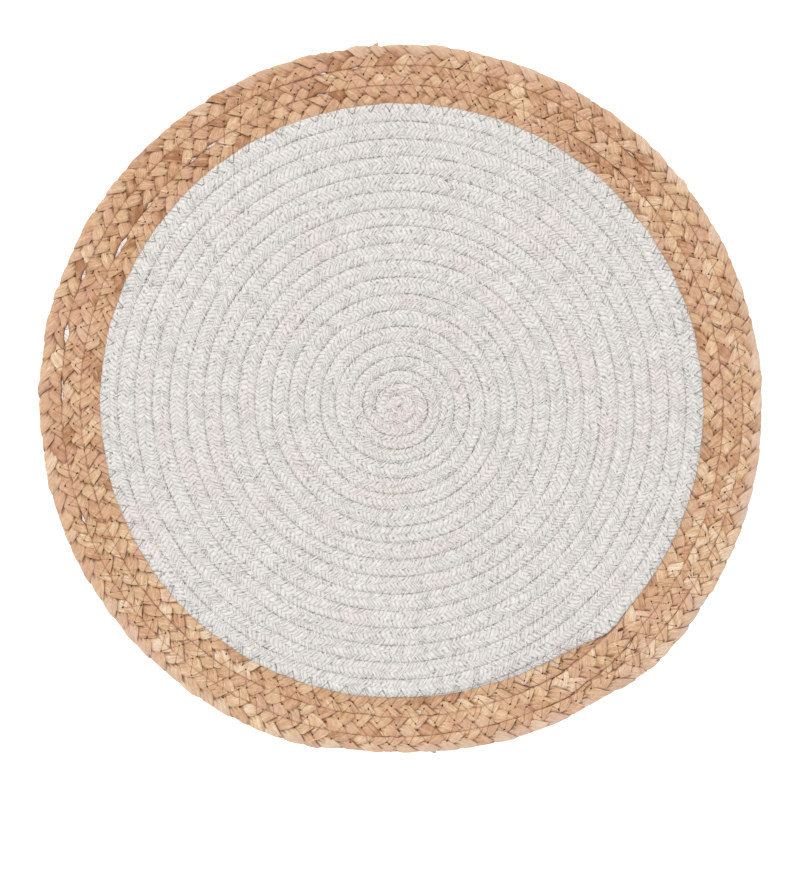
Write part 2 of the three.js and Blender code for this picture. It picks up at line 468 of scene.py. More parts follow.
def floor_material():
    n = Nodes("floor")
    return n.surface({
        "Base Color": n.mix(n.noise(n.place(1), scale=40, detail=3), FLOOR_DULL, FLOOR_BRIGHT),
        "Roughness": 0.9,
        "Specular IOR Level": 0.1,
        "Emission Color": (1, 1, 1, 1),
        "Emission Strength": FLOOR_GLOW,
    })


COTTON = cotton_material("cotton_rope")
STRAW = straw_material("straw")
PALE, PALE_DARK = rgb(245, 243, 239), rgb(232, 229, 225)
TAN, TAN_DARK = rgb(194, 148, 112), rgb(162, 116, 82)
COTTON_THREAD = thread_material("cotton_thread", PALE, PALE_DARK, PALE_DARK)
# The straw thread's third colour is painted shade where it goes into a needle hole
STRAW_THREAD = thread_material("straw_thread", TAN, TAN_DARK, rgb(118, 76, 44))
BORDER_THREAD = thread_material("border_thread", TAN, TAN_DARK, rgb(154, 148, 141))
# Painted shade in the needle holes: brown in the plait and grey in the cotton
HOLE_SHADE = thread_material("needle_hole_shade", rgb(104, 64, 34), rgb(78, 46, 24), rgb(138, 133, 128))

# Stitches: their length along a seam, and the turns of the seam between which they run
STITCH = 5.0
COTTON_STITCHES = 0.35, ROPE_TURNS - 0.01
BORDER_STITCHES = 0.005, 0.99
STRAW_STITCHES = 1.028, 3.035

# Cotton rope
ROPE_HALF_HEIGHT = 3.0
ROPE_BODY = ROPE_HALF_HEIGHT - 0.3
ROPE_SQUARENESS = 3.3
ROPE_OVERLAP = 1.04
ROPE_FIRST = -1.24
ROPE_CUTS = (10.6, 14.8)
OUTLINE_POINTS = 4001
CORE_FULLNESS = 0.93
CORE_PRESSED = 0.4
TAPER_HALF_WIDTH = 2.2
YARN_PITCH = 2.1
YARN_RELIEF = 0.27
UNDER_RELIEF = 0.1
COLUMN_RELIEF = 0.13
CHEVRON_HALF = 1.15
CHEVRON_WIDTH = 3.85
TOP_COLUMNS, TOP_POINTS = 4, 5
UNDER_COLUMNS, UNDER_POINTS = 2, 3

# How uneven the rope is. A change is how much, and over how many millimetres it wanders.
YARN_WIDTHS = 0.58, 1.42
YARN_JITTER = 0.19
YARN_FULLNESS, POINT_FULLNESS = 0.4, 0.28
DRIFT_CHANGE = 0.33, 60
JITTER_CHANGE = 0.3, 18
LEAN_CHANGE = 0.25, 25
SWAY_CHANGE = 0.1, 30
SWELL_CHANGE = 0.02, 45

# How far the rope's sides are drawn to each other: everywhere, at each stitch, here and there, and as a
# share at the core
SEAM_PINCH = 0.05
STITCH_PINCH, STITCH_PINCH_REACH = 0.3, 0.9
PINCH_CHANGE = 0.1, 9
CORE_PINCH, CORE_PINCH_TURNS = 0.1, 3

# What darkens and tints the rope: painted shade in dark specks, most of all in the grooves between yarns, and
# on the rope's sides towards the groove between turns; and pink patches. The pink patch near the middle is x,
# y, how far it reaches, how oval.
SPECK_SHARE = 0.1
GROOVE_SPECK, RIDGE_SPECK = 0.9, 0.2
SIDE_FROM, SIDE_REACH = 0.9, 0.1
SIDE_SHADE, SIDE_SHADE_CHANGE, SIDE_SHADE_MOST = 0.22, (0.17, 7), 0.6
YARN_TONES, COLUMN_TONES = 0.9, 1.2
PATCH_TINT, PATCH_LENGTH, PATCH_FROM, PATCH_MOST = 0.25, 70, 0.5, 0.4
PINK_TINT = 0.6
PINK_PATCH = (1, -13, 13, 1.3)
CALM_REACH, CALM_MOST = 3.5, 0.9


def rope_rise(across):
    """Height of the bare rope over its middle, as a share, at a share of its half width."""
    return (1 - np.minimum(np.abs(across), 1) ** ROPE_SQUARENESS) ** (1 / ROPE_SQUARENESS)


def rope_outline():
    """Share of the way round the rope from its top, across and up, all as shares, and its girth."""
    angle = np.linspace(0, TAU, OUTLINE_POINTS)
    power = 2 / ROPE_SQUARENESS
    across = np.sign(np.sin(angle)) * np.abs(np.sin(angle)) ** power
    up = np.sign(np.cos(angle)) * np.abs(np.cos(angle)) ** power
    steps = np.hypot(np.diff(across) * ROPE_PITCH / 2, np.diff(up) * ROPE_HALF_HEIGHT)
    run = np.concatenate([[0], np.cumsum(steps)])
    return run / run[-1], across, up, run[-1]


def chevron_columns():
    """Which chevron column each point round the rope is in. A column's edges are whole numbers."""
    top = np.arange(TOP_COLUMNS * TOP_POINTS) / TOP_POINTS
    under = TOP_COLUMNS + np.arange(UNDER_COLUMNS * UNDER_POINTS) / UNDER_POINTS
    return np.concatenate([top, under])


def yarn_rows(rng, total):
    """Where along the rope its rows of points lie: one on each yarn and one in each groove."""
    widths = rng.uniform(*YARN_WIDTHS, int(total / YARN_PITCH))
    ends = np.concatenate([[0], np.cumsum(widths)])
    ends *= total / ends[-1]
    return np.stack([ends[:-1], (ends[:-1] + ends[1:]) / 2], -1).ravel()


def rope_section(column, drift):
    """Across and up, as shares, of the rope's points. The columns drift round it, so rows differ."""
    share, across, up, girth = rope_outline()
    half_top = TOP_COLUMNS / 2
    top_share = CHEVRON_WIDTH / girth
    under_share = (1 - TOP_COLUMNS * top_share) / UNDER_COLUMNS
    on_top = (column - half_top) * top_share
    below = half_top * top_share + (column - TOP_COLUMNS) * under_share
    base = np.where(column <= TOP_COLUMNS, on_top, below)
    round_the_rope = np.mod(base[None, :] + drift * top_share, 1)
    return np.interp(round_the_rope, share, across), np.interp(round_the_rope, share, up)


def puckers(turns, across):
    """Where a stitch pulls the rope against the next turn, from 0 to 1."""
    seam = seam_track(-0.3, ROPE_TURNS + 1.1, rope_seam)
    start = np.interp(COTTON_STITCHES[0], seam.turns, seam.lengths)
    length = np.interp(turns + (across > 0), seam.turns, seam.lengths) - start
    away = np.abs(np.mod(length, STITCH) - STITCH / 2)
    return np.exp(-(away / STITCH_PINCH_REACH) ** 2)


def soft_patch(away, reach, most=1):
    """Full round a place, and fading to nothing at 1.3 times its reach."""
    return np.clip(1.3 - away / reach, 0, most)


def rope_marks(rng, at, column, across, skew, yarn, ridge, x, y):
    """The values at each point of the rope that its material uses."""
    # Dark specks of painted shade, strongest in the grooves between yarns
    specks = np.clip(rng.random(across.shape) - (1 - SPECK_SHARE), 0, 1) / SPECK_SHARE
    specks = specks * np.where(ridge < 0, GROOVE_SPECK, RIDGE_SPECK)
    # Painted shade on the rope's sides, where they turn down into the groove between turns
    sides = np.clip((np.abs(across) - SIDE_FROM) / SIDE_REACH, 0, 1)
    sides = sides * np.clip(SIDE_SHADE + varied(rng, at, SIDE_SHADE_CHANGE), 0, SIDE_SHADE_MOST)
    patches = np.clip(PATCH_TINT * (wander(rng, at, PATCH_LENGTH) - PATCH_FROM), 0, PATCH_MOST)
    pink_x, pink_y, reach, oval = PINK_PATCH
    pink = PINK_TINT * soft_patch(np.hypot(x - pink_x, (y - pink_y) / oval), reach)
    columns = np.broadcast_to(column[None, :] * COLUMN_TONES, yarn.shape)
    return {
        "yarn": yarn,
        "shade": specks + sides,
        "place": np.stack([yarn * YARN_TONES, columns, skew], -1),
        "blush": np.maximum(patches[:, None], pink),
        "calm": soft_patch(np.hypot(x - x[0, 0], y - y[0, 0]), CALM_REACH, CALM_MOST),
    }


def rope_pieces():
    """The rope as one tube of slanting yarns, cut into three pieces along its length."""
    rng = np.random.default_rng(11)
    track = Track(ROPE_FIRST, ROPE_LAST, rope_edges)
    at = yarn_rows(rng, track.total)
    column = chevron_columns()
    across, up = rope_section(column, varied(rng, at, DRIFT_CHANGE))
    skew = np.broadcast_to(triangle(column)[None, :], across.shape)
    jitter = YARN_JITTER * rng.standard_normal(across.shape) * (1 + varied(rng, at, JITTER_CHANGE))
    lean = CHEVRON_HALF * (1 + varied(rng, at, LEAN_CHANGE))
    length = at[:, None] + lean * skew + jitter
    turns = track.turns_at(np.clip(length, 0, track.total))
    inner, outer = rope_edges(turns)
    half = (outer - inner) / 2

    # the yarn's ridge and the groove after it, half a yarn further along in every other column
    parity = np.floor(column).astype(int) % 2
    half_yarns = np.arange(len(at))[:, None] + parity[None, :]
    ridge = np.where(half_yarns % 2 == 0, 1.0, -1.0)
    fullness = 1 + YARN_FULLNESS * rng.standard_normal((len(at), 1))
    fullness = fullness + POINT_FULLNESS * rng.standard_normal(across.shape)
    top = np.clip(up + 0.3, 0, 1)
    relief = YARN_RELIEF * ridge * fullness * (UNDER_RELIEF + (1 - UNDER_RELIEF) * top)
    relief += COLUMN_RELIEF * (1 - 2 * skew ** 2) * top
    relief *= np.clip(half / 2, 0, 1)
    normal_across = np.sign(across) * np.abs(across) ** (ROPE_SQUARENESS - 1) / (ROPE_PITCH / 2)
    normal_up = np.sign(up) * np.abs(up) ** (ROPE_SQUARENESS - 1) / ROPE_HALF_HEIGHT
    size = np.hypot(normal_across, normal_up)

    # at the core the turns are pressed into each other
    sway = varied(rng, at, SWAY_CHANGE)
    pressed = ROPE_OVERLAP + CORE_PRESSED * np.clip((0.5 - turns) / 1.2, 0, 1)
    radius = (inner + outer) / 2 + half * across * pressed + relief * normal_across / size * 0.5 + sway
    pinch = SEAM_PINCH + STITCH_PINCH * puckers(turns, across) + varied(rng, at, PINCH_CHANGE)
    pinch = pinch * np.clip(turns / CORE_PINCH_TURNS, CORE_PINCH, 1)
    radius += np.sign(across) * np.abs(across) ** 6 * pinch
    swell = 1 + varied(rng, at, SWELL_CHANGE)
    thick = np.maximum(np.minimum(1, half / TAPER_HALF_WIDTH) ** 0.5, CORE_FULLNESS * (turns < 1))
    rise = up * ROPE_BODY * thick * swell + relief * normal_up / size
    height = np.maximum(ROPE_HALF_HEIGHT + rise, 0)
    x, y = placed(turns, radius)
    grid = np.stack([x, y, height], -1)

    marks = rope_marks(rng, at, column, across, skew, half_yarns / 2, ridge, x, y)
    cuts = np.searchsorted(turns[:, TOP_COLUMNS * TOP_POINTS // 2], ROPE_CUTS)
    bounds = [0, *cuts, len(at)]
    pieces = []
    for name, first, last in zip(["inner", "middle", "outer"], bounds[:-1], bounds[1:]):
        rows = slice(first, min(last + 1, len(at)))
        own = {key: values[rows] for key, values in marks.items()}
        pieces.append(tube_mesh("cotton_rope_" + name, grid[rows], COTTON, own))
    return pieces


rope = rope_pieces()

# Straw plait
STRANDS = 3
STRAND_SLOPE = math.radians(37.5)
STRAND_WIDTH = 7.2
STRAND_THICKNESS = 1.3
STRAND_EDGE = 0.35
STRAND_TILT = 0.35
LEG = 15.0
REACH = 4.9
FOLD_SHARPNESS = 0.97
EDGE_BOW = 0.05
WEAVE_DEPTH = 1.15
WEAVE_SQUARENESS = 1.5
PLAIT_MIDDLE_HEIGHT = 2.25
PLAIT_WIDEST = 1.25
TAPER_HALF, TAPER_FLATTEST = 2.5, 0.2
PUFF = 0.12
SCALLOP = 0.4
# turns, how high the plait's end lies over its usual height
END_RISE = np.array([
    (PLAIT_TURNS, 0), (PLAIT_TURNS + 0.02, 1), (PLAIT_END - 0.006, 1), (PLAIT_END, 0),
]).T
FLOOR_GAP = 0.02

FOLD_WIDTH = REACH * FOLD_SHARPNESS * math.pi / math.asin(FOLD_SHARPNESS)
STRETCH = LEG * math.tan(STRAND_SLOPE) / FOLD_WIDTH
PULL = (STRETCH - 1) * FOLD_WIDTH / (TAU * math.tan(STRAND_SLOPE))

# Rows of points along a strand, crowded at its folds, and places across it from edge to edge. AROUND
# goes over the strand and back under it.
ROWS_PER_LEG = 12
ROW_CROWDING = 0.25
ACROSS = 6
PLACES = np.sin(np.linspace(-1, 1, ACROSS + 1) * math.pi / 2)
AROUND = np.concatenate([np.arange(ACROSS + 1), np.arange(ACROSS, -1, -1)])
NORMAL_STEP = 0.05

# How uneven the plait is: its length in millimetres, each fold, and the strands' thickness
LENGTH_UNEVEN, LENGTH_UNEVEN_WAVE = 0.9, 40
FOLD_REACH, FOLD_TURN, FOLD_WIDENING, FOLD_START = 0.045, 0.12, 0.09, 0.6
CREASES = 0.2
COLUMN_UNEVEN = 0.05
THICKNESS_WAVES, THICKNESS_WAVE = 0.08, 9


class Strand:
    """One strand of the plait, l along it and c across it, with its own irregular folds."""

    def __init__(self, rng, folds):
        self.fold_phases = (np.arange(folds) - 2.5) * math.pi
        self.reach = 1 + FOLD_REACH * rng.standard_normal(folds)
        self.turn = FOLD_TURN * rng.standard_normal(folds)
        self.width = 1 + FOLD_WIDENING * rng.standard_normal(folds)
        self.start = FOLD_START * rng.standard_normal(folds)

    def own(self, values, phase):
        return np.interp(phase, self.fold_phases, values)

    def phases(self, l, c):
        """The phase of the fold and of the depth, which lean across the strand in their own ways."""
        sine, cosine = math.sin(STRAND_SLOPE), math.cos(STRAND_SLOPE)
        fold = math.pi * (l * sine + c * cosine) / FOLD_WIDTH
        middle = math.pi * l * sine / FOLD_WIDTH
        edge_lean = 1 / math.tan(STRAND_SLOPE)
        dive_lean = 1 / math.tan(2 * STRAND_SLOPE)
        lean = dive_lean + (edge_lean - dive_lean) * np.sin(middle) ** 2
        return fold, math.pi * sine * (l + c * lean) / FOLD_WIDTH

    def middle(self, l, c):
        """Along, across and up of the strand's middle surface."""
        middle_phase = math.pi * l * math.sin(STRAND_SLOPE) / FOLD_WIDTH
        share = 2 * c / STRAND_WIDTH
        c = c * self.own(self.width, middle_phase) * (1 - PUFF * np.sin(2 * middle_phase))
        fold, depth = self.phases(l, c)
        out = REACH * np.arcsin(FOLD_SHARPNESS * np.sin(fold)) / math.asin(FOLD_SHARPNESS)
        out = out * (1 - EDGE_BOW * share ** 2 * np.sin(fold) ** 2) * self.own(self.reach, fold)
        along = l * math.cos(STRAND_SLOPE) - c * math.sin(STRAND_SLOPE)
        along = STRETCH * along - PULL * np.sin(2 * fold) + c * self.own(self.turn, middle_phase)
        along = along + self.own(self.start, middle_phase)
        square = math.tanh(WEAVE_SQUARENESS)
        up = -WEAVE_DEPTH * np.tanh(WEAVE_SQUARENESS * np.sin(2 * depth)) / square
        up += STRAND_TILT * share * up / WEAVE_DEPTH
        return np.stack([along, out, up], -1)

    def normal(self, l, c):
        """Upward normals of the middle surface."""
        middle = self.middle(l, c)
        dl = self.middle(l + NORMAL_STEP, c) - middle
        dc = self.middle(l, c + NORMAL_STEP) - middle
        normal = np.cross(dl, dc)
        return normal / np.linalg.norm(normal, axis=-1, keepdims=True)


# How the straw's tone varies: leg by leg, where bleached and brown legs are those below and above a
# share, along a strand, and with the side of the mat
TONE, TONE_SPREAD = 0.52, 0.15
BLEACHED_BELOW, BLEACHED_TONE = 0.05, 0.84
BROWN_ABOVE, BROWN_TONE = 0.94, 0.22
TONE_WAVES, TONE_WAVE = 0.07, 11
LIGHTER_SIDE, SIDE_LIFT, SIDE_SWING = math.radians(310), 0.03, 0.11
PALE_PATCH, PALE_LIFT, PALE_NARROWNESS = math.radians(222), 0.14, 8
# How much the grain and the broad bands change in a millimetre along and across a strand
GRAIN_ALONG, GRAIN_ACROSS = 0.09, 1.3
BAND_ALONG, BAND_ACROSS = 0.02, 0.45
SEEDS, BAND_SEED = 90, 50
# Painted shade along the strands' edges, over the leaf's own darker outline, and in the seams between rows,
# and a greyish painted shade on the outer edge of the mat, stronger towards one side
EDGE_SHADE, EDGE_FROM, EDGE_WIDTH = 0.42, 0.85, 0.15
SEAM_SHADE, SEAM_FROM, SEAM_WIDTH = 0.34, 0.86, 0.14
RIM_SHADE_STRENGTH, RIM_SHADE_RANGE = 0.6, (0.1, 1.9)
RIM_FROM, RIM_WIDTH, RIM_POWER = 0.4, 1.3, 1.3
RIM_SHADE_SIDE, RIM_SHADE_MEAN, RIM_SHADE_SWING = math.radians(340), 0.62, 0.38

# Gaps that show the table between two rows: the turns of the seam, and how wide
SLITS = np.array([
    (2.011, 1.22), (1.011, 1.3), (1.534, 1.6), (1.5225, 1.5), (1.491, 1.7), (1.469, 1.6), (1.463, 1.6),
    (1.594, 1.02), (1.7545, 1.05), (2.328, 1.1), (2.387, 0.9), (2.394, 0.9), (2.4145, 1.5), (2.419, 1.5),
    (2.446, 1.4), (2.5875, 0.97), (2.598, 1), (2.614, 0.95), (2.753, 1.5),
])
SLIT_LENGTH = 3.4

# How painted shade darkens the crevices: from a little over the surface, looks that go so far for a strand
LOOK_LIFT = 0.2
LOOK_REACH = 1.8
# x, y, z, how much painted shade it adds to a point when a strand is met that way
LOOKS = [
    (0, 0, 1, 0.5),
    (0.8, 0, 0.6, 0.09),
    (-0.8, 0, 0.6, 0.09),
    (0, 0.8, 0.6, 0.09),
    (0, -0.8, 0.6, 0.09),
]


def parted(turns, radius, out):
    """How far a point of the plait is drawn back from the slits at its row's seams."""
    moved = np.zeros_like(radius)
    for seam, wide in SLITS:
        for row_turns, side in ((turns + 1, 1), (turns, -1)):
            away = (row_turns - seam) * TAU * radius / SLIT_LENGTH
            moved -= side * wide * np.exp(-away ** 2) * np.clip(side * out / REACH, 0, 1)
    return moved


def strand_body(rng, strand, l, c, leg, legs):
    """Points round a strand in the straight plait: along it, out from its middle, and up."""
    lens = STRAND_THICKNESS / 2 * np.sqrt(np.maximum(1 - PLACES ** 6, 0))[None, :]
    lens = np.maximum(lens, STRAND_EDGE / 2)
    creases = CREASES * rng.standard_normal((legs, ACROSS + 1))
    uneven = 1 + creases[leg] + COLUMN_UNEVEN * rng.standard_normal(lens.shape)
    lens = lens * (uneven + THICKNESS_WAVES * wander(rng, l, THICKNESS_WAVE))
    middle = strand.middle(l, c)
    offset = strand.normal(l, c) * lens[..., None]
    return np.concatenate([middle + offset, (middle - offset)[:, ::-1]], 1)


def strand_marks(rng, leg, legs, long, turns, out, outer_row, outermost):
    """The values at each point of a strand that its material uses."""
    tones = np.clip(TONE + TONE_SPREAD * rng.standard_normal(legs), 0, 1)
    kinds = rng.random(legs)
    tones = np.where(kinds > BROWN_ABOVE, BROWN_TONE, tones)
    tones = np.where(kinds < BLEACHED_BELOW, BLEACHED_TONE, tones)
    direction = END_ANGLE - turns * TAU
    # The straw is lighter towards one side of the mat, and in a pale patch on another side
    lighter_here = SIDE_LIFT + SIDE_SWING * np.cos(direction - LIGHTER_SIDE)
    lighter_here += PALE_LIFT * np.exp(PALE_NARROWNESS * (np.cos(direction - PALE_PATCH) - 1))
    tone = tones[leg] + TONE_WAVES * wander(rng, long, TONE_WAVE) + lighter_here
    seeds = rng.uniform(0, SEEDS, legs)[leg]
    wide = np.broadcast_to((PLACES * STRAND_WIDTH / 2)[AROUND][None, :], turns.shape)
    # Painted shade along each strand's edges, over the leaf's own darker outline, and in the seams between
    # rows
    edge = np.clip((np.abs(PLACES[AROUND]) - EDGE_FROM) / EDGE_WIDTH, 0, 1)
    seam = np.clip((np.abs(out) - SEAM_FROM) / SEAM_WIDTH, 0, 1) * (1 - outermost)
    # Greyish painted shade on the outer rim of the mat, different for each leg and stronger towards one side
    rim_shades = RIM_SHADE_STRENGTH * rng.uniform(*RIM_SHADE_RANGE, legs)
    rim = rim_shades[leg] * outer_row * np.clip((out + RIM_FROM) / RIM_WIDTH, 0, 1) ** RIM_POWER
    return {
        "tone": tone,
        "grain": np.stack([long * GRAIN_ALONG, wide * GRAIN_ACROSS, seeds], -1),
        "band": np.stack([long * BAND_ALONG, wide * BAND_ACROSS, seeds + BAND_SEED], -1),
        "shade": EDGE_SHADE * edge[None, :] + SEAM_SHADE * seam,
        "rim": rim * (RIM_SHADE_MEAN + RIM_SHADE_SWING * np.cos(direction - RIM_SHADE_SIDE)),
    }


def strand_pieces():
    """The plait's strands, one piece each, that pass over and under each other."""
    rng = np.random.default_rng(23)
    track = Track(0.0, PLAIT_END, plait_edges)
    legs = int(track.total / LEG)
    phases = np.arange(-ROWS_PER_LEG, (legs + 1) * ROWS_PER_LEG) / ROWS_PER_LEG * math.pi
    spaced = phases + ROW_CROWDING * np.sin(2 * phases)
    leg_of_row = np.floor(spaced / math.pi + 0.5 + 1e-6).astype(int) + 2
    c = np.broadcast_to(PLACES[None, :] * STRAND_WIDTH / 2, (len(spaced), len(PLACES)))
    # each row of points lies along a fold line, so that the plait's edges are smooth
    l = (spaced[:, None] * FOLD_WIDTH / math.pi - c * math.cos(STRAND_SLOPE)) / math.sin(STRAND_SLOPE)
    spots = np.arange(0, track.total + 2 * LEG, 1.0)
    uneven = LENGTH_UNEVEN * wander(rng, spots, LENGTH_UNEVEN_WAVE)
    made = []
    for index in range(STRANDS):
        strand = Strand(rng, legs + 6)
        grid = strand_body(rng, strand, l, c, leg_of_row, legs + 8)
        grid[..., 0] += index * 2 * LEG / STRANDS
        grid[..., 0] += np.interp(grid[..., 0], spots, uneven)
        keep = (grid[:, 0, 0] > 1) & (grid[:, 0, 0] < track.total - 1)
        grid, long = grid[keep], l[keep][:, AROUND]
        leg = np.broadcast_to(leg_of_row[keep][:, None], long.shape)

        turns = track.turns_at(np.clip(grid[..., 0], 0, track.total))
        inner, outer = plait_edges(turns)
        half = (outer - inner) / 2
        out = grid[..., 1] / REACH
        radius = (inner + outer) / 2 + grid[..., 1] * np.clip(half / (PLAIT_PITCH / 2), 0, PLAIT_WIDEST)
        radius += parted(turns, radius, grid[..., 1])
        outer_row = np.clip((turns - PLAIT_TURNS + 1) / PLAIT_TAPER, 0, 1)
        outermost = outer_row * np.clip(out, 0, 1) ** 4
        radius -= SCALLOP * outermost * PLACES[AROUND][None, :] ** 4
        height = PLAIT_MIDDLE_HEIGHT + grid[..., 2] * np.clip(half / TAPER_HALF, TAPER_FLATTEST, 1)
        height += np.interp(turns, END_RISE[0], END_RISE[1])
        x, y = placed(turns, radius)
        points = np.stack([x, y, np.maximum(height, FLOOR_GAP)], -1)

        marks = strand_marks(rng, leg, legs + 8, long, turns, out, outer_row, outermost)
        made.append(tube_mesh(f"straw_strand_{index + 1}", points, STRAW, marks))
    return made


def darken_crevices(objects):
    """Adds to the shade of each point by how much of the strands lies close over it."""
    trees = trees_of(objects)
    for obj in objects:
        attribute = obj.data.attributes["shade"]
        shade = np.empty(len(obj.data.vertices), dtype=np.float32)
        attribute.data.foreach_get("value", shade)
        for vertex in obj.data.vertices:
            side = 1 if vertex.normal.z > 0 else -1
            start = vertex.co + Vector((0, 0, side * LOOK_LIFT * MM))
            for x, y, z, weight in LOOKS:
                look = Vector((x, y, side * z))
                if any(tree.ray_cast(start, look, LOOK_REACH * MM)[0] for tree in trees):
                    shade[vertex.index] += weight
        attribute.data.foreach_set("value", shade)


straw = strand_pieces()
darken_crevices(straw)

# Sewing thread: how far a stitch reaches from its seam and how much that varies, how thick the thread is,
# and how far it lies over what it is laid on
POINTS_PER_STITCH = 8
COTTON_BITE, COTTON_BITE_VARIES = 3.5, 0.06
STRAW_BITE, STRAW_BITE_VARIES = 4.0, 0.08
COTTON_THREAD_RADIUS, STRAW_THREAD_RADIUS, UNDER_THREAD_RADIUS = 0.19, 0.15, 0.16
BORDER_LIFT, STRAW_LIFT = 0.16, 0.1
UNDER_THREAD_HEIGHT = 0.18
# The cotton thread: its slack, the lowest it goes into a seam, and its dip at the needle holes
COTTON_SLACK, SLACK_VARIES, SLACK_WAVE = 0.36, 0.1, 70
DEEPER_STITCH = 0.25
LOWEST_IN_SEAM = 5.2
NARROW_BITE = 0.6
COTTON_DIP = 0.6
# The tan thread: its dip at the needle holes, how far out it is grey, and how much painted shade darkens it
# at the needle holes
STRAW_DIP = 0.4
GREY_WITHIN = 0.3
THREAD_HOLE_SHADE = 0.8
# Where the plait's start is tucked in, the border thread bites the rope only
BARE_TURNS, BARE_REACH = 0.03, 0.4


def thread_mesh(name, path, radius, material, change):
    """A closed thread of four sides along a path. change says where its colour changes."""
    along = np.gradient(path, axis=0)
    along[:, 2] = 0
    along /= np.linalg.norm(along, axis=1, keepdims=True) + 1e-9
    side = np.stack([-along[:, 1], along[:, 0], np.zeros(len(path))], -1) * radius
    lift = np.array([0, 0, radius])
    grid = np.stack([path + side, path + lift, path - side, path - lift], 1)
    return tube_mesh(name, grid[:, ::-1], material, {"change": np.repeat(change[:, None], 4, 1)})


def zigzag(first, last, seam, bite):
    """Turns and distances from the seam of the points of a zigzag thread along a seam."""
    track = seam_track(first, last, seam)
    steps = np.arange(int(track.total / STITCH) * POINTS_PER_STITCH) / POINTS_PER_STITCH
    rounded = 0.5 * triangle(steps) + 0.5 * np.cos(math.pi * steps)
    return track.turns_at(steps * STITCH), rounded * bite


def cotton_thread():
    """The pale thread over every seam of the rope."""
    rng = np.random.default_rng(31)
    turns, off = zigzag(*COTTON_STITCHES, rope_seam, COTTON_BITE)
    off = off * (1 + COTTON_BITE_VARIES * rng.standard_normal(len(off)))
    seam = rope_seam(turns)
    inside, outside = seam - rope_seam(turns - 1), rope_seam(turns + 1) - seam
    width = np.where(off < 0, inside, outside)
    off *= np.clip(width / ROPE_PITCH, NARROW_BITE, 1)
    across = 1 - 2 * np.abs(off) / width
    points = np.arange(len(off))
    slack = COTTON_SLACK + SLACK_VARIES * wander(rng, points, SLACK_WAVE)
    # every other stitch is pulled in deeper
    slack = slack - DEEPER_STITCH * (np.gradient(off) < 0)
    height = ROPE_HALF_HEIGHT + ROPE_BODY * rope_rise(across) + slack
    height = np.maximum(height, LOWEST_IN_SEAM + slack)
    tip = np.abs(triangle(points / POINTS_PER_STITCH)) > 0.99
    height = height - COTTON_DIP * tip
    x, y = placed(turns, seam + off)
    path = np.stack([x, y, height], -1)
    return thread_mesh("cotton_thread", path, COTTON_THREAD_RADIUS, COTTON_THREAD, np.zeros(len(path)))


threads = [cotton_thread()]
border_trees = trees_of([rope[2], *straw])


def surface_top(x, y):
    """Height and upward normal of the mat in millimetres, or of the floor where there is nothing."""
    best, normal = 0.0, Vector((0, 0, 1))
    start, down = Vector((x * MM, y * MM, 0.02)), Vector((0, 0, -1))
    for tree in border_trees:
        hit, facing, _, _ = tree.ray_cast(start, down)
        if hit is not None and hit.z / MM > best:
            best, normal = hit.z / MM, facing
    return best, normal


def laid_on(turns, radius, lift):
    """A path on top of the mat, lifted a little, that doesn't dip sharply."""
    x, y = placed(turns, radius)
    height = np.array([surface_top(px, py)[0] for px, py in zip(x, y)])
    taut = np.maximum(height, (np.roll(height, 1) + np.roll(height, -1)) / 2)
    return np.stack([x, y, taut + lift], -1)


def straw_threads():
    """The tan thread between rope and plait and on the plait's seams, and where its needle holes are."""
    rng = np.random.default_rng(37)
    made, holes = [], []
    for name, stitches, lift, material in [
        ("border_thread", BORDER_STITCHES, BORDER_LIFT, BORDER_THREAD),
        ("straw_thread", STRAW_STITCHES, STRAW_LIFT, STRAW_THREAD),
    ]:
        border = name == "border_thread"
        turns, off = zigzag(*stitches, thread_line, STRAW_BITE)
        off = off * (1 + STRAW_BITE_VARIES * rng.standard_normal(len(off)))
        beside = turns < BARE_TURNS
        off = np.where(beside, np.minimum(off, BARE_REACH), off)
        path = laid_on(turns, thread_line(turns) + off, lift)
        tips = np.arange(0, len(path), POINTS_PER_STITCH)
        holes += [(path[k].copy(), border and off[k] < 0) for k in tips if off[k] != BARE_REACH]
        path[tips, 2] -= STRAW_DIP
        # On the plait the thread takes painted shade where it goes into a needle hole
        at_hole = np.arange(len(path)) % POINTS_PER_STITCH == 0
        change = (off < GREY_WITHIN) | beside if border else THREAD_HOLE_SHADE * at_hole
        made.append(thread_mesh(name, path, STRAW_THREAD_RADIUS, material, change.astype(float)))
    return made, holes


# Needle holes, dark lenses of painted shade: half length, half width, how much shorter they are in the
# cotton, and how uneven
HOLE_SIDES = 8
HOLE_LONG, HOLE_SHORT = (0.5, 0.8), (0.32, 0.45)
HOLE_IN_COTTON = 0.65
HOLE_UNEVEN = 0.15
HOLE_HALF_THICKNESS = 0.1
# A lens of painted shadow in the notch where the plait's start is tucked in
TUCK_TURNS, TUCK_RADIUS = 0.009, 167.1
TUCK_SIZE = (1.9, 0.8)
TUCK_ANGLE = math.radians(20)
TUCK_LIFT = 0.4


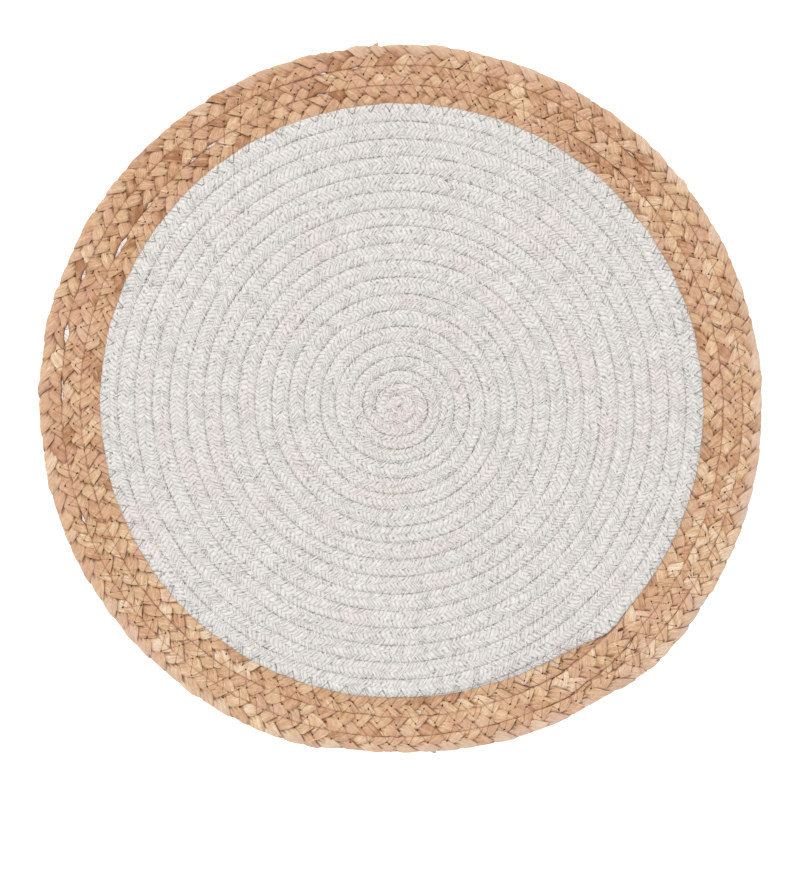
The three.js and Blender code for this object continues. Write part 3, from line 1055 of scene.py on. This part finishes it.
def needle_hole_shades(places):
    """Small dark lenses of painted shade where the needle went in, and one of painted shadow where the
    plait's start is tucked in.
    """
    rng = np.random.default_rng(41)
    turn = np.arange(HOLE_SIDES) / HOLE_SIDES * TAU
    # place, whether it is in the cotton, half length, half width, the way it lies
    rows = []
    for place, grey in places:
        long = rng.uniform(*HOLE_LONG) * (HOLE_IN_COTTON if grey else 1)
        short = rng.uniform(*HOLE_SHORT)
        rows.append((place, grey, long, short, rng.uniform(0, TAU)))
    tuck = np.array(placed(TUCK_TURNS, TUCK_RADIUS))
    tuck_place = np.array([*tuck, surface_top(*tuck)[0] + TUCK_LIFT])
    rows.append((tuck_place, False, *TUCK_SIZE, TUCK_ANGLE))
    points, faces, change = [], [], []
    for place, grey, long, short, lie in rows:
        _, normal = surface_top(place[0], place[1])
        other = normal.cross(Vector((math.cos(lie), math.sin(lie), 0))).normalized()
        across = other.cross(normal)
        a = long * np.cos(turn) * (1 + HOLE_UNEVEN * rng.standard_normal(HOLE_SIDES))
        b = short * np.sin(turn)
        rim = place + a[:, None] * np.array(across) + b[:, None] * np.array(other)
        up = np.array(normal) * HOLE_HALF_THICKNESS
        first = len(points) * (HOLE_SIDES + 2)
        points.append(np.concatenate([rim, [place + up, place - up]]))
        faces.append(cap_faces(first + HOLE_SIDES, HOLE_SIDES, first, True))
        faces.append(cap_faces(first + HOLE_SIDES + 1, HOLE_SIDES, first, False))
        change.append(np.full(HOLE_SIDES + 2, float(grey)))
    marks = {"change": np.concatenate(change)}
    return make_mesh("needle_hole_shades", np.concatenate(points), faces, HOLE_SHADE, marks)


def under_threads():
    """The same seams from below, where the thread runs straight from one needle hole to the next."""
    made = []
    for name, first, last, seam, bite, material in [
        ("cotton_thread_under", *COTTON_STITCHES, rope_seam, COTTON_BITE, COTTON_THREAD),
        ("straw_thread_under", BORDER_STITCHES[0], STRAW_STITCHES[1], thread_line, STRAW_BITE, STRAW_THREAD),
    ]:
        turns, off = zigzag(first, last, seam, bite)
        turns, off = turns[::POINTS_PER_STITCH], off[::POINTS_PER_STITCH]
        x, y = placed(turns, seam(turns) + off)
        path = np.stack([x, y, np.full(len(x), UNDER_THREAD_HEIGHT)], -1)
        made.append(thread_mesh(name, path, UNDER_THREAD_RADIUS, material, np.zeros(len(path))))
    return made


# Slivers: how far they stay inside their row, and between which values each of their sizes lies
SLIVERS = 90
SLIVER_POINTS = 9
SLIVER_INSET = 1.5
SLIVER_SLOPES = 0.4, 0.9
SLIVER_HALF_LENGTHS = 2.0, 4.2
SLIVER_BENDS = -0.8, 0.8
SLIVER_CURLS = 0.1, 0.5
SLIVER_HALF_WIDTHS = 0.2, 0.42
SLIVER_LIFT, SLIVER_HALF_THICKNESS = 0.04, 0.06
SLIVER_TONES = 0.35, 1.0
SLIVER_GRAIN, SLIVER_BAND = 0.4, 0.05
# Tips of leaf that stick out of the border: turns, how far they stick out, how far they lie along it
TIPS = [(2.622, 2.2, 3.5), (2.118, 1.8, -2.5)]
TIP_INSET = 2
TIP_HEIGHT, TIP_DROP = 2.2, 0.6
TIP_HALF_WIDTH, TIP_HALF_THICKNESS = 1.7, 0.12
# The tips' tone, and how much of the outer rim's greyish painted shade they get
TIP_TONE, TIP_RIM_SHADE = 0.1, 0.6


def strip(path, half_width, half_thickness):
    """The rings of a flat strip along a path: four corners at each point."""
    along = np.gradient(path, axis=0)
    side = np.stack([-along[:, 1], along[:, 0], np.zeros(len(path))], -1)
    side *= (half_width / (np.linalg.norm(side, axis=1) + 1e-9))[:, None]
    lift = np.array([0, 0, half_thickness])
    return np.stack([path - side + lift, path + side + lift, path + side - lift, path - side - lift], 1)


def slivers():
    """Thin loose strips of leaf that have curled up from the strands."""
    rng = np.random.default_rng(43)
    share = np.linspace(-1, 1, SLIVER_POINTS)
    grids = []
    for _ in range(SLIVERS):
        turns = rng.uniform(0.1, PLAIT_TURNS - 0.05)
        inner, outer = plait_edges(turns)
        radius = rng.uniform(inner + SLIVER_INSET, outer - SLIVER_INSET)
        slope = rng.choice([-1, 1]) * rng.uniform(*SLIVER_SLOPES)
        length = rng.uniform(*SLIVER_HALF_LENGTHS)
        bend = rng.uniform(*SLIVER_BENDS)
        along = length * share * math.cos(slope) - bend * share ** 2 * math.sin(slope)
        out = length * share * math.sin(slope) + bend * share ** 2 * math.cos(slope)
        path = laid_on(turns + along / (TAU * radius), radius + out, SLIVER_LIFT)
        path[:, 2] += rng.uniform(*SLIVER_CURLS) * np.clip(share, 0, 1) ** 2
        half_width = rng.uniform(*SLIVER_HALF_WIDTHS) * np.sqrt(1.02 - share ** 2)
        grids.append(strip(path, half_width, SLIVER_HALF_THICKNESS))
    return grids


def leaf_tips():
    """The tips of leaf, each a strip that tapers as it goes out."""
    step = np.linspace(0, 1, SLIVER_POINTS)
    grids = []
    for turns, out, along in TIPS:
        _, outer = plait_edges(turns)
        radius = outer - TIP_INSET + (out + TIP_INSET) * step
        x, y = placed(turns + along * step / (TAU * outer), radius)
        path = np.stack([x, y, TIP_HEIGHT - TIP_DROP * step], -1)
        grids.append(strip(path, TIP_HALF_WIDTH * (1.02 - step ** 3), TIP_HALF_THICKNESS))
    return grids


def sliver_piece():
    """All slivers and tips of leaf as one piece, each with a tone of its own."""
    rng = np.random.default_rng(47)
    points, faces, tones, rim_shades = [], [], [], []
    first = 0
    # Slivers get none of the rim's painted shade; the tips of leaf get some
    loose = [(grid, rng.uniform(*SLIVER_TONES), 0) for grid in slivers()]
    for grid, tone, rim_shade in loose + [(grid, TIP_TONE, TIP_RIM_SHADE) for grid in leaf_tips()]:
        own_points, own_faces = closed_tube(grid, first)
        count = len(own_points)
        points.append(own_points)
        faces += own_faces
        tones.append(np.full(count, tone))
        rim_shades.append(np.full(count, rim_shade))
        first += count
    points = np.concatenate(points)
    return make_mesh("straw_slivers", points, faces, STRAW, {
        "tone": np.concatenate(tones),
        "grain": points * SLIVER_GRAIN,
        "band": points * SLIVER_BAND,
        "shade": np.zeros(len(points)),
        "rim": np.concatenate(rim_shades),
    })


straw_thread_pieces, hole_places = straw_threads()
loose_straw = sliver_piece()
needle_piece = needle_hole_shades(hole_places)
under_cotton, under_straw = under_threads()
threads.append(under_cotton)
straw_thread_pieces.append(under_straw)

# Camera, light and floor, in metres. The camera looks straight down and is as high as makes the picture
# so tall on the plane of CAMERA_PLANE.
PICTURE_HEIGHT = 0.4669
CAMERA_PLANE = 0.005
AIM = (-0.0003, -0.0240)
LENS = 85
SENSOR = 36
LAMP_PLACE = (-2.1, 2.7, 3.9)
LAMP_SIZE, LAMP_POWER = 2.1, 80
FLOOR_SIDE = 6.0
FLOOR_DROP = 0.0003

camera_data = bpy.data.cameras.new("camera")
camera_data.lens = LENS
camera_data.sensor_width = SENSOR
camera_data.clip_start, camera_data.clip_end = 0.01, 100
camera = bpy.data.objects.new("camera", camera_data)
bpy.context.scene.collection.objects.link(camera)
camera.location = (AIM[0], AIM[1], CAMERA_PLANE + PICTURE_HEIGHT / 2 / (SENSOR / 2 / LENS))
bpy.context.scene.camera = camera

world = bpy.data.worlds.new("studio")
world.use_nodes = True
sky = world.node_tree.nodes["Background"]
sky.inputs["Color"].default_value = (1, 1, 1, 1)
sky.inputs["Strength"].default_value = 1.0
bpy.context.scene.world = world
bpy.context.scene.view_settings.view_transform = "Standard"

lamp_data = bpy.data.lights.new("key", "AREA")
lamp_data.shape = "DISK"
lamp_data.size = LAMP_SIZE
lamp_data.energy = LAMP_POWER
lamp = bpy.data.objects.new("key", lamp_data)
lamp.location = LAMP_PLACE
lamp.rotation_euler = (-Vector(LAMP_PLACE)).to_track_quat("-Z", "Y").to_euler()
bpy.context.scene.collection.objects.link(lamp)

corners = np.array([(-1, -1, 0), (1, -1, 0), (1, 1, 0), (-1, 1, 0)]) * FLOOR_SIDE / 2 / MM
floor = make_mesh("floor", corners, [np.array([[0, 1, 2, 3]])], floor_material())
floor.location.z = -FLOOR_DROP

# What each piece stands for
for piece in rope:
    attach(piece, "root")
    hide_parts("cotton_coil")
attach(loose_straw, "root")
for piece in straw:
    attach(piece, "root")
    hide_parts("plait_border")

for piece in threads:
    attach(piece, "root")
for piece in [*straw_thread_pieces, needle_piece]:
    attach(piece, "root")
